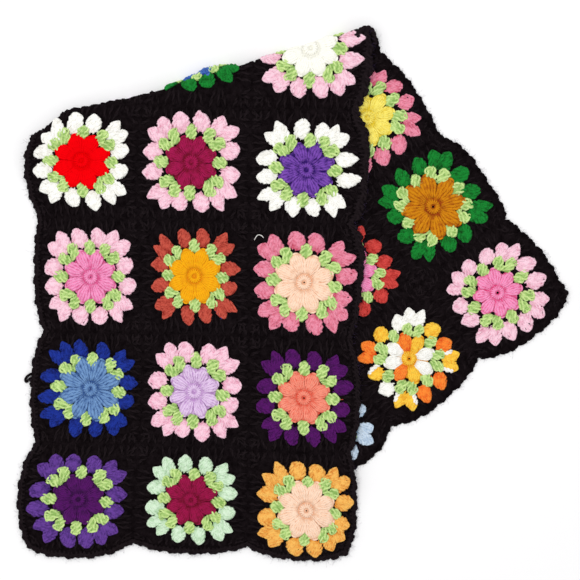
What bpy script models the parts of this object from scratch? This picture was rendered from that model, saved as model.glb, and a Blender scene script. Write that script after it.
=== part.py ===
"""A granny square blanket, three squares wide and eight long, folded once across on a slant.

Every square is first drawn flat, then bent by one map that lays the whole blanket on the floor:
the near rows lie on top, the far rows turn under along the fold and come out to the right.
Metres, +Z up. The origin is under the middle of the folded blanket, on the floor.
"""
import math
from collections import namedtuple

import bmesh
import bpy
import numpy as np

# Driving sizes of the flat blanket
COLUMNS = 3
ROWS = 8
TOP_ROWS = 5              # rows of the top layer and of the fold
SQUARE_WIDTH = 0.1244
SQUARE_LENGTH = 0.1262
CLOTH = 0.0035            # thickness of the plain stitches
EDGING_WIDTH = 0.0067
SEAM = 0.0004             # gap between neighbouring squares
EDGING_SEAM = 0.0008      # gap between the squares and the edging

# How it lies
CORNER = (-0.30077, -0.29244)          # near left corner of the even grid
GRID_TURN = math.radians(-1.1)
FOLD_POINT = (-0.10037, 0.23656)       # on the line where the top layer starts to turn under
FOLD_ANGLE = math.radians(17.7)
FOLD_RADIUS = 0.0082                 # at half the cloth's thickness
FOLD_EASE = 0.060                    # beyond this the bottom layer forgets the fold's waver
BULGE_REACH = 0.055                  # the top layer sinks from the fold over this distance
TOP_LAYER_LIFT = 0.0074              # underside of the top layer where it lies on the bottom layer
STEP_REACH = 0.040                   # it comes down to the floor over this distance

# The fold isn't quite straight: how far out it runs, in mm, at places along it, in mm
Waver = namedtuple("Waver", "along out")
FOLD_WAVER = (
    Waver(-190, -3.0), Waver(-165, 1.0), Waver(-138, 5.0), Waver(-112, 4.6), Waver(-88, 0.8),
    Waver(-62, -1.6), Waver(0, -0.5), Waver(65, -3.4), Waver(130, -4.6), Waver(195, -5.2),
)
WAVER_SPREAD = 16.0
WAVER_FLOOR = 1e-9                   # keeps the average defined far beyond the fold's ends

# The outer edge swells at the middle of each square and is drawn in at the joins
EDGE_AT_SIDE_JOIN = 0.84
EDGE_AT_END_JOIN = 0.76
EDGE_AT_CORNER = 0.86
EDGE_CURVE = 2.5
EDGE_BLEND_START = 0.3
SHELL_STEPS = 11                     # alternating high and low points along a square's side
SHELL_SWELL = 0.012
EDGING_INSET = 0.0004                # the edging stays this much inside the cloth's two faces

# Drift: how far the squares' own unevenness moves a place, in squares
DRIFT_SPREAD = 0.4

SECTORS = 16
GROUND, FLOWER, LEAF, BUD = range(4)

YARN = {
    "black": (0.012, 0.009, 0.011),
    "white": (0.93, 0.92, 0.88),
    "cream": (0.93, 0.91, 0.80),
    "red": (0.90, 0.01, 0.01),
    "burgundy": (0.30, 0.01, 0.07),
    "crimson": (0.36, 0.01, 0.06),
    "light pink": (0.93, 0.46, 0.68),
    "pink": (0.82, 0.16, 0.40),
    "hot pink": (0.90, 0.16, 0.40),
    "rose": (0.80, 0.14, 0.30),
    "salmon": (0.95, 0.38, 0.45),
    "coral": (0.92, 0.24, 0.17),
    "peach": (0.94, 0.50, 0.29),
    "orange": (0.95, 0.36, 0.01),
    "bright orange": (0.93, 0.17, 0.01),
    "amber": (0.95, 0.38, 0.05),
    "ochre": (0.68, 0.22, 0.01),
    "yellow": (0.89, 0.70, 0.08),
    "rust": (0.60, 0.07, 0.03),
    "brick": (0.56, 0.04, 0.03),
    "purple": (0.13, 0.03, 0.38),
    "plum": (0.10, 0.01, 0.13),
    "violet": (0.12, 0.03, 0.33),
    "lavender": (0.56, 0.34, 0.74),
    "denim": (0.16, 0.30, 0.64),
    "blue": (0.06, 0.16, 0.48),
    "royal blue": (0.01, 0.03, 0.36),
    "pale blue": (0.45, 0.58, 0.78),
    "mint": (0.58, 0.87, 0.60),
    "green": (0.01, 0.24, 0.03),
    "leaf": (0.42, 0.79, 0.18),
}

# One line a square. Row 1 is the near end of the top layer, row 5 lies on the fold, rows 6 to 8
# are the bottom layer. East and north are the square's own wander from the even grid, in mm,
# and swell is how far its free sides stand out, as a share of half its width.
# Raised says which face carries the raised flower: the one that shows.
Square = namedtuple("Square", "row column east north swell flower buds raised")
SQUARES = (
    Square(1, 1, -4.2, 0.2, 1.05, "plum", "violet", "front"),
    Square(1, 2, -0.3, 2.5, 0.96, "crimson", "mint", "front"),
    Square(1, 3, 3.6, -4.1, 0.95, "peach", "amber", "front"),
    Square(2, 1, 9.8, -0.3, 1.09, "denim", "royal blue", "front"),
    Square(2, 2, 2.6, -1.2, 1.02, "lavender", "salmon", "front"),
    Square(2, 3, 0.2, -5.4, 1.02, "coral", "plum", "front"),
    Square(3, 1, 4.8, -1.4, 0.99, "pink", "light pink", "front"),
    Square(3, 2, -2.1, 1.8, 1.02, "orange", "rust", "front"),
    Square(3, 3, -0.8, 0.3, 1.02, "peach", "rose", "front"),
    Square(4, 1, -6.5, 3.2, 1.00, "red", "white", "front"),
    Square(4, 2, -5.8, 1.3, 1.02, "burgundy", "light pink", "front"),
    Square(4, 3, -1.7, -0.9, 1.02, "purple", "white", "front"),
    Square(5, 1, 20.0, 2.0, 1.00, "yellow", "lavender", "none"),
    Square(5, 2, -2.0, 0.0, 1.02, "blue", "green", "front"),
    Square(5, 3, 0.0, 2.0, 1.02, "cream", "light pink", "front"),
    Square(6, 1, 0.0, 2.0, 1.02, "coral", "mint", "none"),
    Square(6, 2, 0.0, 3.0, 1.02, "lavender", "purple", "none"),
    Square(6, 3, 0.7, 5.7, 0.95, "yellow", "rose", "back"),
    Square(7, 1, -1.0, 3.0, 1.02, "red", "salmon", "none"),
    Square(7, 2, -1.8, 5.1, 1.02, "pink", "brick", "back"),
    Square(7, 3, -2.1, 2.7, 1.07, "ochre", "green", "back"),
    Square(8, 1, -0.9, -3.4, 1.02, "white", "pale blue", "back"),
    Square(8, 2, -1.3, -4.1, 1.03, "bright orange", "amber", "back"),
    Square(8, 3, -0.2, -5.1, 1.05, "hot pink", "light pink", "back"),
)

# The raised face from the middle out: radius in half squares and height above the plain
# stitches in metres, at a petal and between two petals, and the yarn of the band inside it.
Ring = namedtuple("Ring", "petal_radius dip_radius petal_height dip_height yarn")
MIDDLE_HEIGHT = 0.0008
RAISED_RINGS = (
    Ring(0.09, 0.09, 0.0026, 0.0026, FLOWER),
    Ring(0.17, 0.15, 0.0022, 0.0012, FLOWER),
    Ring(0.33, 0.29, 0.0032, 0.0013, FLOWER),
    Ring(0.48, 0.42, 0.0016, 0.0008, FLOWER),
    Ring(0.62, 0.62, 0.0014, 0.0014, LEAF),
    Ring(0.76, 0.76, 0.0021, 0.0021, BUD),
    Ring(0.90, 0.90, 0.0004, 0.0004, BUD),
)
PLAIN_RINGS = tuple(Ring(radius, radius, 0.0, 0.0, GROUND) for radius in (0.3, 0.6, 0.85))
FLOOR_RINGS = PLAIN_RINGS[1:2]

# Lines parallel to the fold where the flat pieces are cut so that they can bend
ROUND_CUTS = 8
BULGE_CUTS = (-0.042, -0.028, -0.014)
CUT_SNAP = 0.0006         # a corner this near a cut is taken as lying on it
PRESS_START = math.pi / 2            # the raised front is pressed flat from here round the fold
PRESS_TURN = math.pi / 4


def unit(angle):
    return np.array([math.cos(angle), math.sin(angle)])


EAST = unit(GRID_TURN)
NORTH = unit(GRID_TURN + math.pi / 2)
ALONG_FOLD = unit(FOLD_ANGLE)
PAST_FOLD = unit(FOLD_ANGLE + math.pi / 2)


def smooth(x):
    x = np.clip(x, 0.0, 1.0)
    return x * x * (3.0 - 2.0 * x)


def on_sheet(u, v):
    """Flat place, in metres, of u squares from the left edge and v squares from the near edge."""
    centre_u = np.array([s.column - 0.5 for s in SQUARES])
    centre_v = np.array([s.row - 0.5 for s in SQUARES])
    wander = np.array([(s.east, s.north) for s in SQUARES]) / 1000.0
    far = (u[:, None] - centre_u) ** 2 + (v[:, None] - centre_v) ** 2
    weight = np.exp(-far / (2.0 * DRIFT_SPREAD ** 2))
    drift = weight @ wander / weight.sum(axis=1)[:, None]
    even = u[:, None] * SQUARE_WIDTH * EAST + v[:, None] * SQUARE_LENGTH * NORTH
    return np.array(CORNER) + even + drift


def fold_waver(along):
    """How far the fold's line runs out at a place along it."""
    far = along[:, None] * 1000.0 - np.array([waver.along for waver in FOLD_WAVER])
    weight = np.exp(-far ** 2 / (2.0 * WAVER_SPREAD ** 2)) + WAVER_FLOOR
    out = np.array([waver.out for waver in FOLD_WAVER]) / 1000.0
    return weight @ out / weight.sum(axis=1)


def by_the_fold(places):
    """Turn flat places into distance along the fold, distance past its line, and height."""
    from_fold = places[:, :2] - np.array(FOLD_POINT)
    along = from_fold @ ALONG_FOLD
    return np.column_stack([along, from_fold @ PAST_FOLD - fold_waver(along), places[:, 2]])


def from_the_fold(along, out):
    return np.array(FOLD_POINT) + np.outer(along, ALONG_FOLD) + np.outer(out, PAST_FOLD)


def lift_of_top_layer(along, out):
    """Height of the top layer's underside: on the bottom layer, or down on the floor beside it."""
    under = from_the_fold(along, math.pi * FOLD_RADIUS - out) - np.array(CORNER)
    across = under @ EAST
    inside = (across, COLUMNS * SQUARE_WIDTH - across, ROWS * SQUARE_LENGTH - under @ NORTH)
    lift = np.full(len(along), TOP_LAYER_LIFT)
    for distance in inside:
        lift = lift * smooth(1.0 + distance / STEP_REACH)
    return lift


def lay_down(places):
    """Lay places given by the fold as the folded blanket lies, in world coordinates."""
    along, past, height = places.T
    waver = fold_waver(along)
    turn = np.clip(past / FOLD_RADIUS, 0.0, math.pi)
    from_middle = height - CLOTH / 2
    on_top = np.minimum(past, 0.0)
    beyond = np.maximum(past - math.pi * FOLD_RADIUS, 0.0)
    straighten = 2.0 * waver * (1.0 - np.exp(-(beyond / FOLD_EASE) ** 2))
    out = waver + on_top + (FOLD_RADIUS + from_middle) * np.sin(turn) - beyond - straighten
    lift = lift_of_top_layer(along, waver + on_top)
    bulge = smooth(1.0 + past / BULGE_REACH)
    lying = lift + (2.0 * FOLD_RADIUS - lift) * bulge
    rounding = FOLD_RADIUS * (1.0 + np.cos(turn))
    level = CLOTH / 2 + np.where(past < 0.0, lying, rounding) + from_middle * np.cos(turn)
    return np.column_stack([from_the_fold(along, out), level])


def edge_stretch(swell, join, outward, sideways):
    """Factor on the outward coordinate of a square whose side is on the blanket's edge."""
    drawn_in = (swell - join) * np.abs(sideways) ** EDGE_CURVE
    blend = smooth((np.abs(outward) - EDGE_BLEND_START) / (1.0 - EDGE_BLEND_START))
    return 1.0 + (swell - drawn_in - 1.0) * blend


def in_square(square, a, b):
    """u and v of a place given from the square's middle, -1 to 1 across (a) and along (b)."""
    on_left_or_right = (a < 0) & (square.column == 1) | (a > 0) & (square.column == COLUMNS)
    on_near_or_far = (b < 0) & (square.row == 1) | (b > 0) & (square.row == ROWS)
    side_join = np.where(on_near_or_far, EDGE_AT_CORNER, EDGE_AT_SIDE_JOIN)
    end_join = np.where(on_left_or_right, EDGE_AT_CORNER, EDGE_AT_END_JOIN)
    wide = np.where(on_left_or_right, a * edge_stretch(square.swell, side_join, a, b), a)
    long = np.where(on_near_or_far, b * edge_stretch(square.swell, end_join, b, a), b)
    return square.column - 0.5 + wide / 2, square.row - 0.5 + long / 2


def side_limit(on_edge, size):
    """Where a square's own stitches end, in half squares."""
    margin = EDGING_WIDTH + EDGING_SEAM if on_edge else SEAM / 2
    return 1.0 - margin / (size / 2)


def outline_points(square):
    """The square's outer round: 32 points from the middle of its right side, leftwards round."""
    left = side_limit(square.column == 1, SQUARE_WIDTH)
    right = side_limit(square.column == COLUMNS, SQUARE_WIDTH)
    near = side_limit(square.row == 1, SQUARE_LENGTH)
    far = side_limit(square.row == ROWS, SQUARE_LENGTH)
    points = []
    for step in range(2 * SECTORS):
        angle = math.pi * step / SECTORS
        reach = 1.0 / max(abs(math.cos(angle)), abs(math.sin(angle)))
        a = reach * math.cos(angle)
        b = reach * math.sin(angle)
        points.append((a * (right if a > 0 else left), b * (far if b > 0 else near)))
    return points


def ring_points(ring):
    """One point a sector: petals on the odd ones, the dips between them on the even ones."""
    points = []
    for sector in range(SECTORS):
        angle = 2.0 * math.pi * sector / SECTORS
        petal = sector % 2 == 1
        radius = ring.petal_radius if petal else ring.dip_radius
        height = ring.petal_height if petal else ring.dip_height
        points.append((radius * math.cos(angle), radius * math.sin(angle), height))
    return points


def add_face_rings(places, faces, rings, outline_start, middle_height, level, raise_sign):
    """Add the places and faces that fill one face of a square, from its middle to its outline."""
    middle = len(places)
    places.append((0.0, 0.0, level + raise_sign * middle_height))
    previous = None
    for ring in rings:
        start = len(places)
        for a, b, height in ring_points(ring):
            places.append((a, b, level + raise_sign * height))
        for sector in range(SECTORS):
            after = (sector + 1) % SECTORS
            if previous is None:
                faces.append(((middle, start + sector, start + after), ring.yarn))
            else:
                corners = (previous + sector, start + sector, start + after, previous + after)
                faces.append((corners, ring.yarn))
        previous = start
    for sector in range(SECTORS):
        after = (sector + 1) % SECTORS
        outer = [outline_start + (2 * sector + i) % (2 * SECTORS) for i in range(3)]
        faces.append(((previous + sector, outer[0], outer[1]), GROUND))
        faces.append(((previous + sector, outer[1], previous + after), GROUND))
        faces.append(((outer[1], outer[2], previous + after), GROUND))


def square_shape(square):
    """Places (a, b, height) and faces of one flat square, its front face up."""
    places = []
    faces = []
    outline = outline_points(square)
    places.extend((a, b, CLOTH) for a, b in outline)
    places.extend((a, b, 0.0) for a, b in outline)
    count = len(outline)
    for step in range(count):
        after = (step + 1) % count
        faces.append(((count + step, count + after, after, step), GROUND))
    plain = PLAIN_RINGS if square.row <= TOP_ROWS else FLOOR_RINGS
    front = RAISED_RINGS if square.raised == "front" else plain
    back = RAISED_RINGS if square.raised == "back" else plain
    front_middle = MIDDLE_HEIGHT if square.raised == "front" else 0.0
    back_middle = MIDDLE_HEIGHT if square.raised == "back" else 0.0
    add_face_rings(places, faces, front, 0, front_middle, CLOTH, 1.0)
    back_faces = []
    add_face_rings(places, back_faces, back, count, back_middle, 0.0, -1.0)
    faces.extend((tuple(reversed(corners)), yarn) for corners, yarn in back_faces)
    return np.array(places), faces


def settle_relief(places):
    """Press the raised stitches flat where the front of the blanket turns down to the floor."""
    pressed = smooth((places[:, 1] / FOLD_RADIUS - PRESS_START) / PRESS_TURN)
    places[:, 2] -= np.maximum(places[:, 2] - CLOTH, 0.0) * pressed


def cut_for_the_fold(mesh):
    """Split the faces along lines parallel to the fold, where the cloth has to bend."""
    cuts = [FOLD_RADIUS * math.pi * step / ROUND_CUTS for step in range(ROUND_CUTS + 1)]
    for past in list(BULGE_CUTS) + cuts:
        geometry = mesh.verts[:] + mesh.edges[:] + mesh.faces[:]
        bmesh.ops.bisect_plane(mesh, geom=geometry, dist=CUT_SNAP, plane_co=(0.0, past, 0.0),
                               plane_no=(0.0, 1.0, 0.0))


def make_object(name, flat_places, faces, yarns):
    """One node: cut, triangulate and bend a flat closed shape."""
    mesh = bmesh.new()
    vertices = [mesh.verts.new(place) for place in by_the_fold(flat_places)]
    for corners, yarn in faces:
        face = mesh.faces.new([vertices[corner] for corner in corners])
        face.material_index = yarn
        face.smooth = True
    cut_for_the_fold(mesh)
    bmesh.ops.triangulate(mesh, faces=mesh.faces[:])
    places = np.array([vertex.co for vertex in mesh.verts])
    settle_relief(places)
    for vertex, place in zip(mesh.verts, lay_down(places)):
        vertex.co = place
    data = bpy.data.meshes.new(name)
    mesh.to_mesh(data)
    mesh.free()
    for yarn in yarns:
        data.materials.append(yarn_material(yarn))
    made = bpy.data.objects.new(name, data)
    bpy.context.scene.collection.objects.link(made)
    return made


def yarn_material(yarn):
    name = yarn.replace(" ", "_") + "_yarn"
    if name in bpy.data.materials:
        return bpy.data.materials[name]
    material = bpy.data.materials.new(name)
    material.use_nodes = True
    shader = material.node_tree.nodes["Principled BSDF"]
    shader.inputs["Base Color"].default_value = (*YARN[yarn], 1.0)
    shader.inputs["Roughness"].default_value = 0.9
    shader.inputs["Metallic"].default_value = 0.0
    return material


def make_square(square):
    places, faces = square_shape(square)
    u, v = in_square(square, places[:, 0], places[:, 1])
    flat = np.column_stack([on_sheet(u, v), places[:, 2]])
    name = f"square_r{square.row}_c{square.column}"
    return make_object(name, flat, faces, ("black", square.flower, "leaf", square.buds))


def edging_path():
    """Every step along the blanket's outer edge: its square, and the outer and inner place."""
    by_place = {(square.row, square.column): square for square in SQUARES}
    near = [(by_place[1, column], "near") for column in range(1, COLUMNS + 1)]
    right = [(by_place[row, COLUMNS], "right") for row in range(1, ROWS + 1)]
    far = [(by_place[ROWS, column], "far") for column in range(COLUMNS, 0, -1)]
    left = [(by_place[row, 1], "left") for row in range(ROWS, 0, -1)]
    step_number = 0
    for square, side in near + right + far + left:
        for step in range(SHELL_STEPS):
            travel = 2.0 * step / SHELL_STEPS - 1.0
            swell = SHELL_SWELL if step_number % 2 else -SHELL_SWELL
            step_number += 1
            yield square, side, travel, 1.0 + swell


def edging_place(square, side, travel, outward):
    """a and b of a place on one side of a square, kept inside the blanket's corners."""
    limits = (1.0 if square.column > 1 else outward, 1.0 if square.column < COLUMNS else outward)
    if side in ("left", "right"):
        limits = (1.0 if square.row > 1 else outward, 1.0 if square.row < ROWS else outward)
    if side in ("far", "left"):
        travel = -travel
    travel = min(max(travel, -limits[0]), limits[1])
    return {"near": (travel, -outward), "right": (outward, travel),
            "far": (travel, outward), "left": (-outward, travel)}[side]


def make_edging():
    """The strip of one crochet round along the whole outer edge, four-sided in section."""
    low = EDGING_INSET
    high = CLOTH - EDGING_INSET
    points = []
    for square, side, travel, reach in edging_path():
        size = SQUARE_WIDTH if side in ("left", "right") else SQUARE_LENGTH
        inner = 1.0 - EDGING_WIDTH / (size / 2)
        for outward, height in ((reach, low), (reach, high), (inner, high), (inner, low)):
            a, b = edging_place(square, side, travel, outward)
            u, v = in_square(square, np.array([a]), np.array([b]))
            points.append((*on_sheet(u, v)[0], height))
    faces = []
    sections = len(points) // 4
    for section in range(sections):
        here = 4 * section
        there = 4 * ((section + 1) % sections)
        for side in range(4):
            after = (side + 1) % 4
            faces.append(((here + side, there + side, there + after, here + after), GROUND))
    return make_object("edging", np.array(points), faces, ("black",))


def clear_scene():
    for old in list(bpy.data.objects):
        bpy.data.objects.remove(old)


clear_scene()
for one_square in SQUARES:
    make_square(one_square)
make_edging()
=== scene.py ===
"""The looks of a folded granny square blanket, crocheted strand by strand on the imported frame.

Every square is worked flat, in millimetres from its middle: x across, y along, and height above
its back. The map that bends the solids then lays its strands where its solid lies, and small pulls
on the lying edge are added last.
"""
import math
from collections import namedtuple

import bpy
import numpy as np
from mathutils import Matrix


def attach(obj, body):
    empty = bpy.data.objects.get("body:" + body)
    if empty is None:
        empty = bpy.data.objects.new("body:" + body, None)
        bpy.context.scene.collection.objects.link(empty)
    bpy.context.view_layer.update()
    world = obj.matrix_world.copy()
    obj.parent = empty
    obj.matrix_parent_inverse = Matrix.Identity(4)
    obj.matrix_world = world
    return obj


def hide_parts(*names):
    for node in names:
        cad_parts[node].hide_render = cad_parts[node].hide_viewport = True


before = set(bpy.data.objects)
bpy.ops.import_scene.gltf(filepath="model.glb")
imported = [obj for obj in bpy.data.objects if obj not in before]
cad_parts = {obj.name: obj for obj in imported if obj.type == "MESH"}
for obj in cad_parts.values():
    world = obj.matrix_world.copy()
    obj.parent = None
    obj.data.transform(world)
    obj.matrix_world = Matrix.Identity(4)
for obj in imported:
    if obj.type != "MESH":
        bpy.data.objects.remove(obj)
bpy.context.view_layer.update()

# Sizes of the flat blanket and how it lies, as the solids have them, in metres
COLUMNS = 3
ROWS = 8
TOP_ROWS = 5  # the others are worked on the sheet's other face
SQUARE_WIDTH = 0.1244
SQUARE_LENGTH = 0.1262
CLOTH = 0.0035  # thickness of the plain stitches
EDGING_WIDTH = 0.0067
EDGING_SEAM = 0.0008
CORNER = (-0.30077, -0.29244)  # the sheet's near left one
GRID_TURN = math.radians(-1.1)
FOLD_POINT = (-0.10037, 0.23656)  # a place on the fold's line
FOLD_ANGLE = math.radians(17.7)
FOLD_RADIUS = 0.0082
FOLD_EASE = 0.060  # over which the under layer straightens
BULGE_REACH = 0.055  # over which the top layer rises to the fold
TOP_LAYER_LIFT = 0.0074  # where the bottom layer is under it
STEP_REACH = 0.040  # over which it comes down beside that
# Places along the fold's line and how far it runs out there, in mm
FOLD_WAVER = (
    (-190, -3.0), (-165, 1.0), (-138, 5.0), (-112, 4.6), (-88, 0.8),
    (-62, -1.6), (0, -0.5), (65, -3.4), (130, -4.6), (195, -5.2),
)
WAVER_SPREAD = 16.0
# Where the outline runs at the joins, as a share of a square's half size
EDGE_AT_SIDE_JOIN = 0.84
EDGE_AT_END_JOIN = 0.76
EDGE_AT_CORNER = 0.86
EDGE_CURVE = 2.5
EDGE_BLEND_START = 0.3
SHELL_STEPS = 11  # of the edging along a square's side, two to a shell
SHELL_SWELL = 0.012
DRIFT_SPREAD = 0.4  # squares over which a wander fades
PRESS_START = math.pi / 2  # round the fold, from where it is pressed flat
PRESS_TURN = math.pi / 4
MM = 0.001
TINY = 1e-9  # keeps a divisor off zero
HALF_WIDTH = SQUARE_WIDTH / 2 / MM
HALF_LENGTH = SQUARE_LENGTH / 2 / MM

# Yarn colours, linear
YARN = {
    "black": (0.0157, 0.0108, 0.0126), "smoke": (0.10, 0.065, 0.15),
    "white": (0.95, 0.94, 0.90), "cream": (0.97, 0.96, 0.88),
    "red": (0.88, 0.001, 0.004), "burgundy": (0.35, 0.004, 0.070),
    "crimson": (0.32, 0.003, 0.060), "light pink": (0.92, 0.62, 0.72),
    "pink": (0.88, 0.31, 0.55), "hot pink": (0.92, 0.32, 0.56),
    "rose": (0.80, 0.27, 0.38), "salmon": (0.92, 0.60, 0.71),
    "coral": (0.90, 0.29, 0.20), "peach": (0.96, 0.70, 0.53),
    "orange": (0.88, 0.41, 0.001), "bright orange": (0.92, 0.25, 0.03),
    "gold": (0.94, 0.60, 0.06), "amber": (0.89, 0.49, 0.11),
    "ochre": (0.62, 0.23, 0.001), "yellow": (0.93, 0.80, 0.16),
    "rust": (0.55, 0.085, 0.055), "brick": (0.62, 0.06, 0.05),
    "purple": (0.19, 0.065, 0.42), "plum": (0.085, 0.003, 0.12),
    "violet": (0.13, 0.045, 0.30), "lavender": (0.76, 0.57, 0.81),
    "denim": (0.16, 0.30, 0.55), "blue": (0.06, 0.16, 0.50),
    "royal blue": (0.008, 0.028, 0.28), "pale blue": (0.60, 0.71, 0.83),
    "mint": (0.67, 0.83, 0.64), "green": (0.004, 0.22, 0.025),
    "leaf": (0.60, 0.78, 0.30),
}

# One line a square. East and north are its wander from the even grid in mm, and swell is how far
# its free sides stand out. Turn is how far its flower is turned in degrees, aside and ahead how
# far it sits off the middle in mm. Wide and long scale all of it, bloom the flower alone and full
# the buds' width, and loose is how loosely it is worked, 0 to 1.
Square = namedtuple("Square", "row column east north swell flower buds turn aside ahead wide long"
                              " bloom full loose hidden", defaults=(0, 0, 0, 1, 1, 1, 1, 0.5, False))
SQUARES = (
    Square(1, 1, -4.2, 0.2, 1.05, "plum", "violet", -3, 1.4, 0.3, 1, 0.98, 0.94, 1.01, 0.5),
    Square(1, 2, -0.3, 2.5, 0.96, "crimson", "mint", -2, 0.5, 0.4, 0.94, 0.95, 0.97, 0.95, 0.6),
    Square(1, 3, 3.6, -4.1, 0.95, "peach", "amber", -2, 2.1, -2.4, 1.01, 1.05, 1.07, 1.06, 0.2),
    Square(2, 1, 9.8, -0.3, 1.09, "denim", "royal blue", -3, 0.5, -1, 1.01, 1.03, 1.15, 0.86, 1),
    Square(2, 2, 2.6, -1.2, 1.02, "lavender", "salmon", -3, -0.8, -0.9, 1.02, 1.05, 0.93, 1.05, 0.9),
    Square(2, 3, 0.2, -5.4, 1.02, "coral", "plum", -1, -0.1, -1.4, 1.01, 1.01, 0.95, 0.93, 0.5),
    Square(3, 1, 4.8, -1.4, 0.99, "pink", "light pink", 0, 2.8, -0.8, 1, 1, 1, 1.10, 0.8),
    Square(3, 2, -2.1, 1.8, 1.02, "orange", "rust", 1, 1.5, 0, 0.94, 1, 1.05, 0.86, 0.1),
    Square(3, 3, -0.8, 0.3, 1.02, "peach", "rose", -3, -1, -3.2, 1.05, 1.06, 1.03, 1.04, 0.2),
    Square(4, 1, -6.5, 3.2, 1, "red", "white", -1, 0.6, -1.2, 1.01, 0.97, 1.02, 0.99, 0),
    Square(4, 2, -5.8, 1.3, 1.02, "burgundy", "light pink", -1, -0.9, 1.3, 1.01, 1.07, 0.92, 1.08, 0.6),
    Square(4, 3, -1.7, -0.9, 1.02, "purple", "white", -3, 0.1, -2.9, 1.03, 1.02, 0.98, 0.92, 0.9),
    Square(5, 1, 20, 2, 1, "yellow", "lavender", hidden=True),
    Square(5, 2, -2, 0, 1.02, "blue", "green", 10, -7, -2.9, 1, 0.80, 1.24, 1, 0.6),
    Square(5, 3, 0, 2, 1.02, "cream", "light pink", 0, 0.5, 3, 1.03, 1.02, 1, 1, 0.1),
    Square(6, 1, 0, 2, 1.02, "coral", "mint", hidden=True),
    Square(6, 2, 0, 3, 1.02, "lavender", "purple", hidden=True),
    Square(6, 3, 0.7, 5.7, 0.95, "yellow", "rose", 0, -2.7, -2, 1.08, 1.06, 0.95, 0.95, 0.5),
    Square(7, 1, -1, 3, 1.02, "red", "salmon", hidden=True),
    Square(7, 2, -1.8, 5.1, 1.02, "pink", "brick", 0, 2.3, 4.4, 0.96, 0.96, 1.06, 0.95, 0.5),
    Square(7, 3, -2.1, 2.7, 1.07, "ochre", "green", -3, -0.3, -0.6, 1.01, 1.09, 1.14, 0.96, 0.8),
    Square(8, 1, -0.9, -3.4, 1.02, "white", "pale blue", 0, 0, 0, 1, 1, 1, 0.86, 0.5),
    Square(8, 2, -1.3, -4.1, 1.03, "bright orange", "amber", 0, 0.2, 0.8, 0.95, 0.99, 0.96, 1.03, 0.5),
    Square(8, 3, -0.2, -5.1, 1.05, "hot pink", "light pink", -4, -1.3, 1.2, 0.97, 0.99, 0.92, 1.07, 0.8),
)
AT_PLACE = {(square.row, square.column): square for square in SQUARES}
HIDDEN_RELIEF = 0.25  # share of the relief left on squares shut inside the fold

# Where the lying edge is pulled further than the even folds put it: the top layer's share of the
# pull (the bottom one has the rest), its place from the frame's middle, the pull and its spread,
# each across and along, in mm
PULLS = (
    (0, 121.7, 246.2, 2.4, 1.5, 20, 20), (0, 194.5, 156.6, 2.4, 1.9, 20, 20),
    (0, 237.1, 89.4, 3.8, 2.8, 18, 18), (0, 278.5, 44.6, 1.8, 1.3, 18, 18),
    (0, 309.9, 3.2, 2.6, 0.6, 10, 10), (0, 93.7, -168.2, 3, -2.4, 18, 18),
    (0, 183.3, -104.4, -2, 2, 24, 24), (0.5, 95, 284, 12, 2, 13, 16),
    (1, -299.4, 134.2, -2, 0, 22, 22), (1, -306.1, -224.2, -2.4, 0, 20, 20),
    (1, -292.7, -179.4, -2.4, 0, 16, 16), (1, 65.7, -289.2, -3.5, 3.2, 14, 14),
    (0.5, -292, 184, 5, -8, 15, 14), (0.5, -262, 192, 0, 6, 12, 12),
    (0.5, -87, 256, -1, 8.5, 17, 12), (0.5, -252, 203, -2, 7.5, 24, 6), (1, 85, 246, 8, 0, 4.5, 20),
    (1, 79, 204, 8.5, 0, 4.5, 19), (1, 79, 162, 7, 0, 4.5, 19), (1, 78, 122, 5, 0, 5, 19),
    (1, 76, 82, 6.5, 0, 5, 19), (1, 78, 44, 4, 0, 5, 18),
)
LAYER_CHANGE = 0.05  # reach over the fold where the pulls change layer


def unit(angle):
    return np.array([math.cos(angle), math.sin(angle)])


EAST = unit(GRID_TURN)
NORTH = unit(GRID_TURN + math.pi / 2)
ALONG_FOLD = unit(FOLD_ANGLE)
PAST_FOLD = unit(FOLD_ANGLE + math.pi / 2)


def smooth(x):
    x = np.clip(x, 0.0, 1.0)
    return x * x * (3.0 - 2.0 * x)


def on_sheet(u, v):
    """Flat place, in metres, of u squares from the left edge and v squares from the near edge."""
    centre_u = np.array([s.column - 0.5 for s in SQUARES])
    centre_v = np.array([s.row - 0.5 for s in SQUARES])
    wander = np.array([(s.east, s.north) for s in SQUARES]) * MM
    far = (u[:, None] - centre_u) ** 2 + (v[:, None] - centre_v) ** 2
    weight = np.exp(-far / (2.0 * DRIFT_SPREAD ** 2))
    drift = weight @ wander / weight.sum(axis=1)[:, None]
    even = u[:, None] * SQUARE_WIDTH * EAST + v[:, None] * SQUARE_LENGTH * NORTH
    return np.array(CORNER) + even + drift


def fold_waver(along):
    """How far the fold's line runs out at a place along it."""
    places, out = map(np.array, zip(*FOLD_WAVER))
    far = along[:, None] / MM - places
    weight = np.exp(-far ** 2 / (2.0 * WAVER_SPREAD ** 2)) + TINY
    return weight @ out * MM / weight.sum(axis=1)


def by_the_fold(places):
    """Turn flat places into distance along the fold, distance past its line, and height."""
    from_fold = places[:, :2] - np.array(FOLD_POINT)
    along = from_fold @ ALONG_FOLD
    return np.column_stack([along, from_fold @ PAST_FOLD - fold_waver(along), places[:, 2]])


def from_the_fold(along, out):
    return np.array(FOLD_POINT) + np.outer(along, ALONG_FOLD) + np.outer(out, PAST_FOLD)


def lift_of_top_layer(along, out):
    """Height of the top layer's underside: on the bottom layer, or down on the floor."""
    under = from_the_fold(along, math.pi * FOLD_RADIUS - out) - np.array(CORNER)
    across = under @ EAST
    inside = (across, COLUMNS * SQUARE_WIDTH - across, ROWS * SQUARE_LENGTH - under @ NORTH)
    lift = np.full(len(along), TOP_LAYER_LIFT)
    for distance in inside:
        lift = lift * smooth(1.0 + distance / STEP_REACH)
    return lift


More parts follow.
